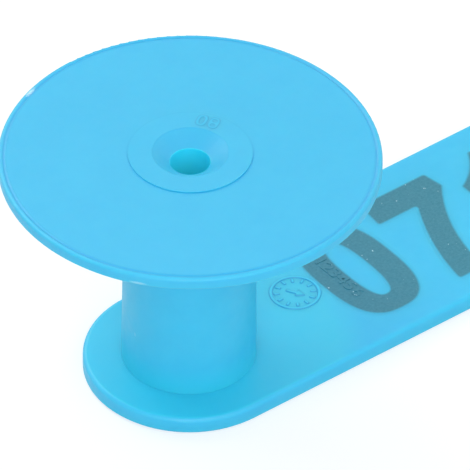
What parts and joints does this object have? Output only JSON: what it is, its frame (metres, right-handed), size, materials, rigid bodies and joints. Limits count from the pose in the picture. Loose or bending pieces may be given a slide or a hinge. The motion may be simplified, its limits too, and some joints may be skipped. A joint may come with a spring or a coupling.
{
  "type": "livestock ear tag",
  "caption": "Two-piece ear tag: a round button with a pin bore and a barbed stem turns in the tall socket of a round-ended numbered flag.",
  "frame": {"origin": "on the stem's axis at the flag's flat underside", "axes": "+Z along the stem from the flag to the button, +X along the flag from its round end to its square end"},
  "size_m": [0.0552, 0.03, 0.0218],
  "materials": {
    "soft_blue": "satin soft polyurethane",
    "hard_tip": "smooth hard nylon"
  },
  "bodies": {
    "flag": {"number_flag": "soft_blue"},
    "button": {"stud_button": "soft_blue", "stud_tip": "hard_tip"}
  },
  "joints": [
    {"name": "button_swivel", "type": "hinge", "parent": "flag", "child": "button", "pos_m": [0, 0, 0.013], "axis": [0, 0, 1], "continuous": true}
  ]
}
